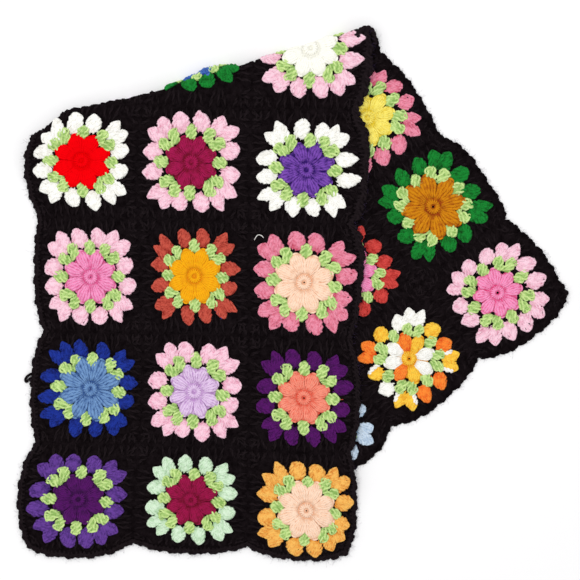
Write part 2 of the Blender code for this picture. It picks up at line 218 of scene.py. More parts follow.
def pulled(places, past):
    """Laid places with the edge's small pulls added. Past is how far past the fold they lie."""
    moved = places.copy()
    top_share = smooth(0.5 - past / LAYER_CHANGE)
    for top, east, north, dx, dy, wide, deep in PULLS:
        off = (places[:, :2] / MM - (east, north)) / (wide, deep)
        weight = np.exp(-(off ** 2).sum(axis=1) / 2.0)
        weight = weight * (top * top_share + (1.0 - top) * (1.0 - top_share))
        moved[:, :2] += weight[:, None] * (dx * MM, dy * MM)
    return moved


def lay_down(flat_places):
    """Lay flat places and heights, in metres, as the folded blanket lies."""
    along, past, height = by_the_fold(flat_places).T
    pressed = smooth((past / FOLD_RADIUS - PRESS_START) / PRESS_TURN)
    height = height - np.maximum(height - CLOTH, 0.0) * pressed
    waver = fold_waver(along)
    turn = np.clip(past / FOLD_RADIUS, 0.0, math.pi)
    from_middle = height - CLOTH / 2
    on_top = np.minimum(past, 0.0)
    beyond = np.maximum(past - math.pi * FOLD_RADIUS, 0.0)
    straighten = 2.0 * waver * (1.0 - np.exp(-(beyond / FOLD_EASE) ** 2))
    out = waver + on_top + (FOLD_RADIUS + from_middle) * np.sin(turn) - beyond - straighten
    lift = lift_of_top_layer(along, waver + on_top)
    bulge = smooth(1.0 + past / BULGE_REACH)
    lying = lift + (2.0 * FOLD_RADIUS - lift) * bulge
    rounding = FOLD_RADIUS * (1.0 + np.cos(turn))
    level = CLOTH / 2 + np.where(past < 0.0, lying, rounding) + from_middle * np.cos(turn)
    return pulled(np.column_stack([from_the_fold(along, out), level]), past)


def edge_stretch(swell, join, outward, sideways):
    """Factor on the outward coordinate of a square whose side is on the blanket's edge."""
    drawn_in = (swell - join) * np.abs(sideways) ** EDGE_CURVE
    blend = smooth((np.abs(outward) - EDGE_BLEND_START) / (1.0 - EDGE_BLEND_START))
    return 1.0 + (swell - drawn_in - 1.0) * blend


def in_square(row, column, swell, a, b):
    """u and v of a place given from a square's middle, -1 to 1 across (a) and along (b)."""
    on_left_or_right = (a < 0) & (column == 1) | (a > 0) & (column == COLUMNS)
    on_near_or_far = (b < 0) & (row == 1) | (b > 0) & (row == ROWS)
    side_join = np.where(on_near_or_far, EDGE_AT_CORNER, EDGE_AT_SIDE_JOIN)
    end_join = np.where(on_left_or_right, EDGE_AT_CORNER, EDGE_AT_END_JOIN)
    wide = np.where(on_left_or_right, a * edge_stretch(swell, side_join, a, b), a)
    long = np.where(on_near_or_far, b * edge_stretch(swell, end_join, b, a), b)
    return column - 0.5 + wide / 2, row - 0.5 + long / 2


# ---- Finishes ----

class Value:
    """An output of a material's nodes that works in Python expressions, one node an operator."""

    def __init__(self, tree, socket=None):
        self.tree = tree
        self.socket = socket

    def node(self, kind, settings=None, sockets=None, output=0):
        """Add any other node: its settings first, then what goes into its sockets."""
        made = self.tree.nodes.new(kind)
        for name, setting in (settings or {}).items():
            setattr(made, name, setting)
        for name, given in (sockets or {}).items():
            if isinstance(given, Value):
                self.tree.links.new(given.socket, made.inputs[name])
            else:
                made.inputs[name].default_value = given
        return Value(self.tree, made.outputs[output])

    def math(self, operation, first, second=0.0):
        return self.node("ShaderNodeMath", {"operation": operation}, {0: first, 1: second})

    def __add__(self, other):
        return self.math("ADD", self, other)

    def __sub__(self, other):
        return self.math("SUBTRACT", self, other)

    def __rsub__(self, other):
        return self.math("SUBTRACT", other, self)

    def __mul__(self, other):
        return self.math("MULTIPLY", self, other)

    __radd__ = __add__
    __rmul__ = __mul__


MIX_FACTOR, MIX_A, MIX_B, MIX_RESULT = 0, 6, 7, 2
Grain = namedtuple("Grain", "scale detail roughness share middle", defaults=(0.0,))
FIBRE = Grain(2600.0, 2.0, 0.6, 0.4)
HEATHER = Grain(620.0, 2.0, 0.6, 1.5, 0.5)
PATCH = Grain(170.0, 1.0, 0.5, 1.9, 0.45)
PLIES = 3
PLY_PITCH = 5.5  # mm of strand to one turn of the plies
PLY_DEPTH = 0.00035
PLY_SHARE = 0.6  # of the relief
# painted light and shade on the plies: how much lighter their crests are and darker their grooves
PLY_SHADE = 0.06
HEIGHT_SHADE_SHARE = 0.7  # how much painted shade being low down brings
FLECK = {"denim": 1.0, "lavender": 0.8, "pink": 0.8, "hot pink": 0.7, "purple": 1.1, "red": 0.2,
         "orange": 0.4, "peach": 0.6, "coral": 0.6, "cream": 0.3, "black": 0.5, "smoke": 0.0}
# Painted shade: what lies low down in the work, in creases and pits, turns toward a darker colour, the
# yarn's own to a power and times a share; the leaf's is given
SHADE_POWER = {"red": 1.2, "orange": 1.5, "hot pink": 2.6, "plum": 1.4, "crimson": 1.5,
              "burgundy": 1.5, "cream": 1.3, "black": 1.35}  # of the colour painted as shade on what lies low down in the work
USUAL_SHADE_POWER = 2.1
SHADE_SHARE = 0.85
SHADED_COLOUR = {"leaf": (0.24, 0.42, 0.10)}
Surface = namedtuple("Surface", "rough gloss sheen", defaults=(0.95, 0.25, 0.12))
SURFACES = {"black": Surface(1.0, 0.02, 0.0), "smoke": Surface(1.0, 0.02, 0.0),
            "red": Surface(gloss=0.0, sheen=0.0)}


def yarn_finish(yarn):
    """Spun yarn: plies wound along each strand, loose fibres, and painted shade: a darker colour
    low down in the work, and lighter crests on the plies.
    """
    name = "spun_" + yarn.replace(" ", "_")
    if name in bpy.data.materials:
        return bpy.data.materials[name]
    material = bpy.data.materials.new(name)
    material.use_nodes = True
    tree = material.node_tree
    shader = tree.nodes["Principled BSDF"]
    start = Value(tree)
    colour = np.array(YARN[yarn])
    usual_shaded = SHADE_SHARE * colour ** SHADE_POWER.get(yarn, USUAL_SHADE_POWER)
    strand = start.node("ShaderNodeUVMap", {"uv_map": "yarn"})
    around = start.node("ShaderNodeSeparateXYZ", sockets={0: strand})
    lengthwise = Value(tree, around.socket.node.outputs["Y"])
    wound = start.math("SINE", (around * PLIES + lengthwise * (1.0 / PLY_PITCH)) * math.tau)
    where = start.node("ShaderNodeTexCoord", output="Object")
    fibre, heather, patch = (start.node("ShaderNodeTexNoise", sockets={
        "Vector": where, "Scale": grain.scale, "Detail": grain.detail,
        "Roughness": grain.roughness}) for grain in (FIBRE, HEATHER, PATCH))
    depth = start.node("ShaderNodeAttribute", {"attribute_name": "depth"}, output="Fac")
    mixed = (heather - HEATHER.middle) * HEATHER.share + (patch - PATCH.middle) * PATCH.share
    # painted shade by height, random flecks of tone, and painted light and shade on the plies
    shade_and_fleck = depth * HEIGHT_SHADE_SHARE + mixed * FLECK.get(yarn, 1.0) - wound * PLY_SHADE
    low = start.node("ShaderNodeClamp", sockets={"Value": shade_and_fleck})
    # the base colour turns from the yarn's own colour to its painted shade colour
    base = start.node("ShaderNodeMix", {"data_type": "RGBA"}, {
        MIX_FACTOR: low, MIX_A: (*colour, 1.0), MIX_B: (*SHADED_COLOUR.get(yarn, usual_shaded), 1.0)},
        output=MIX_RESULT)
    bump = start.node("ShaderNodeBump", sockets={
        "Strength": 0.55, "Distance": PLY_DEPTH,
        "Height": wound * PLY_SHARE + fibre * FIBRE.share})
    tree.links.new(base.socket, shader.inputs["Base Color"])
    tree.links.new(bump.socket, shader.inputs["Normal"])
    surface = SURFACES.get(yarn, Surface())
    for socket, setting in {
            "Roughness": surface.rough, "Specular IOR Level": surface.gloss,
            "Sheen Weight": surface.sheen, "Sheen Roughness": 0.6,
            "Sheen Tint": (*np.sqrt(colour), 1.0)}.items():
        shader.inputs[socket].default_value = setting
    return material


# ---- Strands ----

UP = (0.0, 0.0, 1.0)
EASTWARD = (1.0, 0.0, 0.0)
STEEP = 0.2  # level share of its direction under which a strand counts as upright
STRAND_SIDES = 5
# Painted shade: heights between which a strand's colour turns from its shaded one to its own
USUAL_SHADE_HEIGHTS = (1.5, 5.5)
BLACK_SHADE_HEIGHTS = (0.0, 6.0)
# strands given these heights take their painted shade colour all over
ALL_IN_SHADE = (8.0, 9.0)


def unit_length(vectors):
    return vectors / (np.linalg.norm(vectors, axis=-1, keepdims=True) + TINY)


def as_path(*coordinates):
    """A path from coordinates, each one number or one a step."""
    return np.column_stack(np.broadcast_arrays(*coordinates))


def to_the_right(ahead):
    """Flat directions turned a quarter to the right."""
    return np.column_stack([ahead[:, 1], -ahead[:, 0]])


def distance_along(line):
    steps = np.linalg.norm(np.diff(line, axis=0), axis=1)
    return np.concatenate([[0.0], steps.cumsum()])


def wound(line, height, outward, angle, twist, knob=0.0):
    """A strand wound about a flat line at a height, bulging out by knob."""
    reach = twist * np.cos(angle) + knob
    return as_path(*(line + outward * reach[:, None]).T, height + twist * np.sin(angle))


def through(start, middle, end, steps):
    """Points on the curve through three places: m x 3 arrays in, m x steps x 3 out."""
    s = np.linspace(0.0, 1.0, steps)[None, :, None]
    start, middle, end = (np.asarray(place, float)[:, None] for place in (start, middle, end))
    return start * (1 - s) * (1 - 2 * s) + middle * 4 * s * (1 - s) + end * s * (2 * s - 1)


def spoke(angle, places):
    """Turn places outward, sideways and high along a spoke into x, y and height."""
    out, aside, height = np.atleast_2d(np.asarray(places, float)).T
    cos, sin = np.cos(angle), np.sin(angle)
    return as_path(out * cos - aside * sin, out * sin + aside * cos, height)


class Worked:
    """The strands of one piece, in mm on the flat, gathered for one mesh."""

    def __init__(self):
        self.places = []
        self.faces = []
        self.uvs = []
        self.finishes = []
        self.painted_shades = []
        self.count = 0

    def strands(self, paths, radius, finish, sides=STRAND_SIDES, upright=None,
                depth=USUAL_SHADE_HEIGHTS):
        """Strands along paths (strands x steps x 3). Upright is the radius up and down, if
        it differs. Their colour is painted shade, the darker shaded colour, up to the first of the
        two heights given, and their own from the second."""
        paths = np.asarray(paths, float)
        strands, steps = paths.shape[:2]
        radius = np.broadcast_to(radius, (strands, steps))
        upright = radius if upright is None else np.broadcast_to(upright, (strands, steps))
        ahead = unit_length(np.gradient(paths, axis=1))
        side = np.cross(UP, ahead[:, 0])
        rising = np.linalg.norm(side, axis=1) < STEEP
        side[rising] = np.cross(EASTWARD, ahead[rising, 0])
        around = math.tau * np.arange(sides) / sides
        rings = np.empty((strands, steps, sides, 3))
        for step in range(steps):
            here = ahead[:, step]
            side = unit_length(side - (side * here).sum(axis=1)[:, None] * here)
            up = np.cross(here, side)
            across = radius[:, step, None, None] * side[:, None] * np.cos(around)[:, None]
            above = upright[:, step, None, None] * up[:, None] * np.sin(around)[:, None]
            rings[:, step] = paths[:, None, step] + across + above
        places = rings.reshape(-1, 3)
        low, high = depth
        self.places.append(places)
        # painted shade by height: 1 up to the first height, 0 from the second
        self.painted_shades.append(1.0 - smooth((places[:, 2] - low) / (high - low)))
        number = self.count + np.arange(len(places)).reshape(strands, steps, sides)
        after = np.roll(number, -1, axis=2)
        quads = np.stack([number[:, :-1], after[:, :-1], after[:, 1:], number[:, 1:]], axis=-1)
        for faces in (quads.reshape(-1, 4), number[:, 0, ::-1], number[:, -1]):
            self.faces.extend(faces.tolist())
        length = np.linalg.norm(np.diff(paths, axis=1), axis=2).cumsum(axis=1)
        length = np.concatenate([np.zeros((strands, 1)), length], axis=1)
        left, near, far = np.broadcast_arrays(
            np.arange(sides) / sides, length[:, :-1, None], length[:, 1:, None])
        right = left + 1.0 / sides
        quad_uv = np.stack([left, near, right, near, right, far, left, far], axis=-1)
        self.uvs += [quad_uv.reshape(-1, 2), np.zeros((2 * strands * sides, 2))]
        one_each = np.broadcast_to(finish, strands)
        self.finishes += [np.repeat(one_each, (steps - 1) * sides), np.tile(one_each, 2)]
        self.count += len(places)

    def size_up(self, size, shift):
        """Widen and lengthen what is worked so far, and move it off the middle."""
        for places in self.places:
            places[:, :2] = places[:, :2] * size + shift


def add_object(name, data):
    made = bpy.data.objects.new(name, data)
    bpy.context.scene.collection.objects.link(made)
    return made


def make_piece(name, worked, lay, yarns):
    """Lay the strands with lay() and make them one object that rides on the blanket."""
    places = lay(np.concatenate(worked.places))
    places[:, 2] = np.maximum(places[:, 2], 0.0)
    data = bpy.data.meshes.new(name)
    data.from_pydata(places.tolist(), [], worked.faces)
    data.polygons.foreach_set("material_index", np.concatenate(worked.finishes).astype(np.int32))
    data.polygons.foreach_set("use_smooth", np.ones(len(data.polygons), bool))
    layer = data.uv_layers.new(name="yarn")
    layer.data.foreach_set("uv", np.concatenate(worked.uvs).astype(np.float32).ravel())
    # each point's painted shade, which the yarn's finish reads
    depth = data.attributes.new("depth", "FLOAT", "POINT")
    depth.data.foreach_set("value", np.concatenate(worked.painted_shades).astype(np.float32))
    for yarn in yarns:
        data.materials.append(yarn_finish(yarn))
    data.update()
    piece = add_object(name, data)
    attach(piece, "root")
    return piece


# A post is strands wound round a line. Twist is how far they reach sideways, rise up and down.
POST_STRANDS = 2
Post = namedtuple("Post", "strand twist rise turns steps sides")
BUD_POST = Post(1.65, 1.85, 1.05, 1.9, 10, 5)
LEAF_POST = Post(1.38, 2.30, 0.95, 1.3, 11, 5)
HIDDEN_POST = Post(1.75, 1.3, 1.3, 0.8, 4, 4)
BLACK_POST = Post(1.50, 1.10, 1.1, 1.0, 5, 4)
EDGING_POST = Post(1.15, 1.0, 1.0, 0.8, 5, 5)
DRAWN_IN = ((0.0, 0.15, 0.5, 0.85, 1.0), (0.40, 0.85, 1.0, 0.92, 0.40))  # share of its twist
TAPER = ((0.0, 0.2, 0.5, 0.85, 1.0), (0.75, 0.9, 1.0, 1.0, 0.8))  # share of its width


def post_paths(centres, kind, draw):
    """Strands wound round each centre line, m x steps x 3."""
    count, steps = centres.shape[:2]
    side = unit_length(np.cross(UP, np.gradient(centres, axis=1)))
    along = np.linspace(0.0, 1.0, steps)
    start = draw.uniform(0.0, math.tau, (count, 1))
    made = []
    for strand in range(POST_STRANDS):
        angle = start + math.tau * (kind.turns * along + strand / POST_STRANDS)
        reach = kind.twist * np.interp(along, *DRAWN_IN)
        offset = (reach * np.cos(angle))[..., None] * side
        offset[..., 2] += reach * np.sin(angle) * kind.rise / kind.twist
        made.append(centres + offset)
    return np.concatenate(made)


# ---- Flowers ----

# A square's yarns, in its piece's order
BLACK, FLOWER, LEAF, BUDS = range(4)
MIDDLE = 1.9  # height of the middle of the cloth's plain stitches

# The ring: wraps round a core, and a hole. The core and a pad in the hole are all in painted
# shade, and some flowers have a black disc in the hole as painted shade too. All in mm.
RING_RADIUS = 5.3
WRAPS = 18
WRAP_STRAND = 1.15
WRAP_REACH = 2.088
WRAP_HEIGHT = 3.0
WRAP_RISE = 1.75
WRAP_UNDER = 0.35  # radians that a wrap goes on under the ring
WRAP_STEPS = 7
CORE_HEIGHT = 2.9
CORE_STRAND = 2.1
HOLE = 1.9
HOLE_WIDTHS = (0.3, 1.6, 1.9, 1.6, 0.3)
HOLE_HEIGHT = 3.4
HOLE_SHADE = {"peach": 0.9, "ochre": 1.4, "hot pink": 1.5, "coral": 1.1, "pink": 0.8, "denim": 0.8,
         "bright orange": 1.2}  # radius of the black disc painted in the hole as shade
HOLE_SHADE_TAPER = (0.2, 0.8, 1.0, 0.8, 0.2)
HOLE_SHADE_RISE = 0.3
PAD_SIDES = 8

# A disc lies under the petals. In a pair, the second number is added where the work is loose.
DISC = 25.0
DISC_END = 1.0
# DISC_LOW and DISC_HIGH: heights between which the disc's painted shade fades to its own colour
DISC_LOW = (3.0, 1.0)
DISC_HIGH = 6.0

# Petals, in mm. Their profiles run from 0 at the foot to 1 at the tip.
PETALS = 8
PETAL_FOOT = 9.4
PETAL_TIP = 30.6
PETAL_WIDTH = ((0.0, 0.25, 0.5, 0.7, 0.85, 0.95, 1.0), (3.4, 5.7, 8.0, 9.1, 8.3, 6.4, 4.6))
PETAL_CROWN = ((0.0, 0.25, 0.5, 0.75, 0.9, 1.0), (1.3, 2.5, 3.1, 3.0, 1.9, 0.7))
PETAL_STEPS = 9
PETAL_STRANDS = 7
LOOSE_PETAL = 0.7  # looser than this, fewer strands
LOOSE_PETAL_STRANDS = 5
HIDDEN_PETAL_STRANDS = 3
HIDDEN_PETAL_STEPS = 5
PETAL_FIT = (1.0, -0.10)  # share of its width
PETAL_STRAND = 0.2  # mm past its even share of the width
PETAL_FULL = (1.15, -0.12)
PETAL_WOBBLE = (0.2, 0.15)
PETAL_UNEVEN = (0.1, 0.25)
PETAL_ROUND = (0.72, 0.08)  # how far round the crown they lie
# PETAL_LOW and PETAL_HIGH: heights between which the petals' painted shade fades
PETAL_LOW = (1.2, 1.2)
PETAL_HIGH = 5.2
TIP_ROUND = 0.12  # how much shorter the outer strands are
PETAL_SIZES = (0.96, 1.04)
BACK_STRANDS = (-0.45, 0.45)  # shares of the petal's width
BACK_STRAND = 1.3
BACK_HEIGHT = 1.45
BED_INSET = 0.4
BED_CROWN = 0.5  # share of the crown by which it rises
BED_THICK = (1.3, -0.8)
BED_FULL = 0.44  # share of the crown that thickens it
# BED_LOW and BED_HIGH: heights between which the bed's painted shade fades
BED_LOW = (2.0, 1.0)
BED_HIGH = 8.0
TIE = ((-0.8, -3.6, 1.9), (0.5, 0.0, 3.4), (-0.8, 3.6, 1.9))  # past the tip, sideways, high
TIE_STRAND = 1.3


def loosened(pair, loose):
    """The first number of a pair, and as much of its second as the work is loose."""
    return pair[0] + pair[1] * loose


def work_ring(worked, square, finish):
    """The flower's ring with its hole in painted shade, and the disc under the petals."""
    around = np.linspace(0.0, math.tau, WRAPS, endpoint=False)
    over = np.linspace(-WRAP_UNDER, math.pi + WRAP_UNDER, WRAP_STEPS)
    out = RING_RADIUS - WRAP_REACH * np.cos(over)
    height = WRAP_HEIGHT + WRAP_RISE * np.sin(over)
    wraps = np.stack([np.outer(np.cos(around), out), np.outer(np.sin(around), out),
                      np.broadcast_to(height, (WRAPS, WRAP_STEPS))], axis=-1)
    worked.strands(wraps, WRAP_STRAND, finish, depth=(2.0, 5.4))
    # the core, all in painted shade, shows between the wraps
    circle = np.linspace(0.0, math.tau, num=25)
    core = as_path(RING_RADIUS * np.cos(circle), RING_RADIUS * np.sin(circle), CORE_HEIGHT)
    worked.strands([core], CORE_STRAND, finish, sides=6, depth=ALL_IN_SHADE)
    pad = as_path(0.0, np.linspace(-DISC, DISC, num=15), MIDDLE)
    reach = np.sqrt(np.maximum(DISC ** 2 - pad[:, 1] ** 2, DISC_END))
    worked.strands([pad], reach, finish, sides=16, upright=1.6,
                   depth=(loosened(DISC_LOW, square.loose), DISC_HIGH))
    # a pad in the hole, all in painted shade
    hole = as_path(np.linspace(-HOLE, HOLE, len(HOLE_WIDTHS)), 0.0, HOLE_HEIGHT)
    worked.strands([hole], HOLE_WIDTHS, finish, sides=PAD_SIDES, upright=0.4, depth=ALL_IN_SHADE)
    # a black disc in the hole, painted shade
    if square.flower in HOLE_SHADE:
        size = HOLE_SHADE[square.flower]
        hole_shade = hole * (size / HOLE, 1.0, 1.0) + (0.0, 0.0, HOLE_SHADE_RISE)
        worked.strands([hole_shade], np.array(HOLE_SHADE_TAPER) * size, BLACK, sides=PAD_SIDES,
                       upright=0.3, depth=ALL_IN_SHADE)


def work_petal(worked, draw, angle, square, finish):
    """One petal: its strands side by side, two behind them, a pad, and a tie over its tip."""
    loose = square.loose
    strands, steps = PETAL_STRANDS, PETAL_STEPS
    if square.hidden:
        strands, steps = HIDDEN_PETAL_STRANDS, HIDDEN_PETAL_STEPS
    elif loose > LOOSE_PETAL:
        strands = LOOSE_PETAL_STRANDS
    s = np.linspace(0.0, 1.0, steps)
    tip = PETAL_TIP * square.bloom + draw.normal(scale=0.6)
    along = PETAL_FOOT + (tip - PETAL_FOOT) * s
    width = np.interp(s, *PETAL_WIDTH) * square.bloom * draw.uniform(*PETAL_SIZES)
    width = width * loosened(PETAL_FIT, loose)
    crown = np.interp(s, *PETAL_CROWN)
    thick = (PETAL_STRAND + width / strands) * loosened(PETAL_FULL, loose)
    paths = []
    for share in np.linspace(-1.0, 1.0, strands):
        wobble = draw.normal(0.0, loosened(PETAL_WOBBLE, loose), steps)
        uneven = draw.normal(0.0, loosened(PETAL_UNEVEN, loose), steps)
        rise = crown * math.sqrt(1 - (loosened(PETAL_ROUND, loose) * share) ** 2)
        paths.append(spoke(angle, as_path(
            along * (1 - TIP_ROUND * share ** 2), wobble + share * (width - thick),
            MIDDLE + rise + uneven)))
    worked.strands(paths, thick, finish, depth=(loosened(PETAL_LOW, loose), PETAL_HIGH))
    # two strands behind the petal, all in painted shade
    paths = [spoke(angle, as_path(along, share * width, BACK_HEIGHT)) for share in BACK_STRANDS]
    worked.strands(paths, BACK_STRAND, finish, sides=4, depth=ALL_IN_SHADE)
    pad = spoke(angle, as_path(along, 0.0, MIDDLE + BED_CROWN * crown))
    worked.strands([pad], width - BED_INSET, finish, sides=PAD_SIDES,
                   upright=loosened(BED_THICK, loose) + BED_FULL * crown,
                   depth=(loosened(BED_LOW, loose), BED_HIGH))
    tie = through(*(spoke(angle, np.add((tip, 0.0, 0.0), place)) for place in TIE), steps=6)
    worked.strands(tie, TIE_STRAND, finish, depth=(1.5, 5.0))


# ---- Groups of stitches ----

# Three places that a post's line runs through, each outward and sideways along its group's spoke
Stitch = namedtuple("Stitch", "foot middle head")
LEAF_SIDE = (Stitch((24, -2.6), (31, -3.6), (38.4, -3.1)),
             Stitch((24, 2.6), (31, 3.6), (38.4, 3.1)))
LEAF_CORNER = (Stitch((26, 1.4), (33, 3), (41.6, 5.6)),
               Stitch((24, 5.2), (31, 8.8), (37.8, 12.4)))
BUD_SINGLE = (Stitch((30, -3.2), (40.5, -6.3), (48, -4.2)),
              Stitch((29, 0), (42, -0.2), (52, 1.2)),
              Stitch((30, 3.2), (40.5, 6.3), (49.6, 4.8)))
BUD_SINGLE_ASIDE = 11.3
BUD_EAR = (Stitch((35, 0.8), (47, 0.9), (55.4, 3.6)),
           Stitch((34, 4.4), (47, 6), (58.8, 9.4)),
           Stitch((33, 7), (43.5, 9.6), (52.2, 12.2)))

# How a group is worked: its posts, the heights of their places, how far its pad reaches past and
# drops below them (0 for no pad, no caps), the heights of the pad's painted shade, how uneven it
# is, and the heights of the posts' painted shade.
Manner = namedtuple("Manner", "post heights pad drop pad_depth uneven depth")
LEAF_MANNER = Manner(LEAF_POST, (2.4, 3.4, 3.4), 2.0, 0.9, (3.0, 9.0), 0.5, (1.2, 5.4))
BUD_MANNER = Manner(BUD_POST, (0.3, 2.9, 3.2), 2.6, 0.6, (-0.5, 5.5), 0.7, (1.2, 5.4))
BLACK_MANNER = Manner(BLACK_POST, (1.4, 2.2, 2.1), 0.0, 0.0, None, 0.35, BLACK_SHADE_HEIGHTS)
SIDE_SCATTER = 0.35
HEIGHT_SCATTER = 0.12
PAD_PAST = 2.4  # how far the pad goes on beyond the heads
PAD_THICK = 2.1
PAD_TAPER = (0.62, 0.86, 1.0, 1.03, 1.0, 0.93, 0.74, 0.30)  # share of its width, foot to tip
CAP_OUT = 0.4
CAP_RISE = (0.0, 0.0, 0.6)
CAP_SINK = (0.0, 0.0, 0.2)
CAP_SHARE = 0.9  # of the posts' strand


def work_group(worked, draw, manner, angle, stitches, finishes, mirror=1, shift=(0, 0),
               lean=0.0, spread=1.0):
    """A group of posts on a spoke, each a wound pair of strands, with caps over the heads."""
    outward = np.array([math.cos(angle), math.sin(angle), 0.0])
    stroke = []
    for part, height in enumerate(manner.heights):
        column = np.array([(stitch[part][0] + shift[0],
                            mirror * stitch[part][1] * spread + shift[1] + lean * part / 2,
                            height) for stitch in stitches])
        scatters = (manner.uneven * (1 + part) / 2, SIDE_SCATTER, HEIGHT_SCATTER)
        for axis, scatter in enumerate(scatters):
            column[:, axis] += draw.normal(0.0, scatter, len(stitches))
        stroke.append(spoke(angle, column))
    if manner.pad:
        foot, middle, head = (places.mean(axis=0, keepdims=True) for places in stroke)
        line = through(foot, middle, head + outward * PAD_PAST, len(PAD_TAPER))
        line[..., 2] -= manner.drop
        spans = ([[np.ptp([stitch[part][1] for stitch in stitches]) * spread / 2 + manner.pad]]
                 for part in range(3))
        reach = through(*spans, len(PAD_TAPER))[..., 0]
        worked.strands(line, reach * PAD_TAPER, np.asarray(finishes).flat[0], sides=PAD_SIDES,
                       upright=PAD_THICK * np.sqrt(PAD_TAPER), depth=manner.pad_depth)
    post = manner.post
    paths = post_paths(through(*stroke, post.steps), post, draw)
    finishes = np.tile(np.broadcast_to(finishes, len(stitches)), POST_STRANDS)
    tapered = post.strand * np.interp(np.linspace(0.0, 1.0, post.steps), *TAPER)
    worked.strands(paths, tapered, finishes, sides=post.sides, depth=manner.depth)
    if not manner.pad:
        return
    heads = stroke[2]
    for here, there, finish in zip(heads[:-1], heads[1:], finishes):
        middle = (here + there) / 2 + outward * CAP_OUT + CAP_RISE
        cap = through([here - CAP_SINK], [middle], [there - CAP_SINK], steps=5)
        worked.strands(cap, post.strand * CAP_SHARE, finish, depth=manner.depth)


BLACK_PLACES = (-51.0, -25.5, 0.0, 25.5, 51.0)  # sideways, of the groups along one side
BLACK_FOOT = (50.0, 42.0, 43.0, 42.0, 50.0)
BLACK_FAN = (-8.2, 0.0, 8.2)
# The share of the fan that they keep, and how near the square's ends they come
BLACK_ROOTS = (0.42, 2.5)
BLACK_HEADS = (1.1, 1.5)
BLACK_PAST = 0.6  # how far the heads go past the square's own stitches
BLACK_SHORTEST = 8.0
BORDER_INSET = 1.9


def work_black(worked, draw, square):
    """The black round: groups that reach in between the buds and out to the joins."""
    first, last = (COLUMNS, 1) if square.row > TOP_ROWS else (1, COLUMNS)
    on_edge = (square.column == last, square.row == ROWS,
               square.column == first, square.row == 1)
    limits = [half - (BORDER_INSET + (EDGING_WIDTH + EDGING_SEAM) / MM * edge)
              for edge, half in zip(on_edge, (HALF_WIDTH, HALF_LENGTH) * 2)]
    for side in range(4):
        angle = math.pi / 2 * side
        left, right = limits[side - 1], limits[(side + 1) % 4]
        reach = limits[side] + BLACK_PAST
        for place, foot in zip(BLACK_PLACES, BLACK_FOOT):
            start = min(foot, reach - BLACK_SHORTEST)
            stitches = []
            for fan in BLACK_FAN:
                root, head = (min(max(place + fan * share, near - left), right - near)
                              for share, near in (BLACK_ROOTS, BLACK_HEADS))
                stitches.append(Stitch((start, root), ((start + reach) / 2, (root + head) / 2),
                                       (reach, head)))
            work_group(worked, draw, BLACK_MANNER, angle, stitches, BLACK)


# ---- Squares ----

# The middle square of the far row is worked in a yarn that changes colour, by the degrees from
# its own right side, anticlockwise.
CHANGING = (8, 2)
CHANGING_RING = "gold"
CHANGING_PETALS = {-68: ["bright orange"], -23: ["gold"], 22: ["white"], 67: ["white"],
                   112: ["gold"], 157: ["bright orange"], -158: ["white"], -113: ["white"]}
TURNING = ["gold", "gold", "white"]
CHANGING_BUDS = {-45: ["white"], -17: ["gold"], 17: ["bright orange"], 45: TURNING,
                 73: ["bright orange"], 107: ["bright orange"], 135: TURNING, 163: ["white"],
                 -163: TURNING, -135: ["bright orange"], -107: ["gold"], -73: ["white"]}
BUD_STEP = 0.3  # radians from the middle of a side to its single buds

# Short ends of yarn on the work: the square, the yarn, and three places in mm
LOOSE_ENDS = {
    (3, 3): ("white", ((-56.5, 42.5, 3.2), (-52.0, 48.5, 5.5), (-46.5, 45.5, 4.6))),
    (3, 2): ("royal blue", ((25.5, -38.5, 3.6), (29.0, -42.0, 4.2), (31.5, -46.5, 3.4))),
    (2, 3): ("rust", ((37.0, -1.0, 3.0), (40.5, -2.0, 3.4), (43.5, -2.0, 2.8))),
    (3, 1): ("rust", ((-36.0, 5.0, 3.2), (-40.0, 5.6, 3.6), (-43.5, 4.6, 3.0))),
}

# How far, in mm, the fold crowds buds in. An ear is named by row, column and corner, from 0 at
# the far right one, and a single bud by row, column, side, from 0 at the right one, and 1 or -1
# for which of the side's two it is.
CROWDED_EARS = {(4, 1, 1): 4.5}
CROWDED_BUDS = {(4, 1, 1, 1): 3.6}

GROUP_TURNS = 0.03  # radians
LEAST_HEIGHT = 0.1


def nearest(table, angle):
    """The entry of a table by degrees that is nearest an angle."""
    degrees = math.degrees(angle)
    return table[min(table, key=lambda entry: abs((entry - degrees + 180) % 360 - 180))]


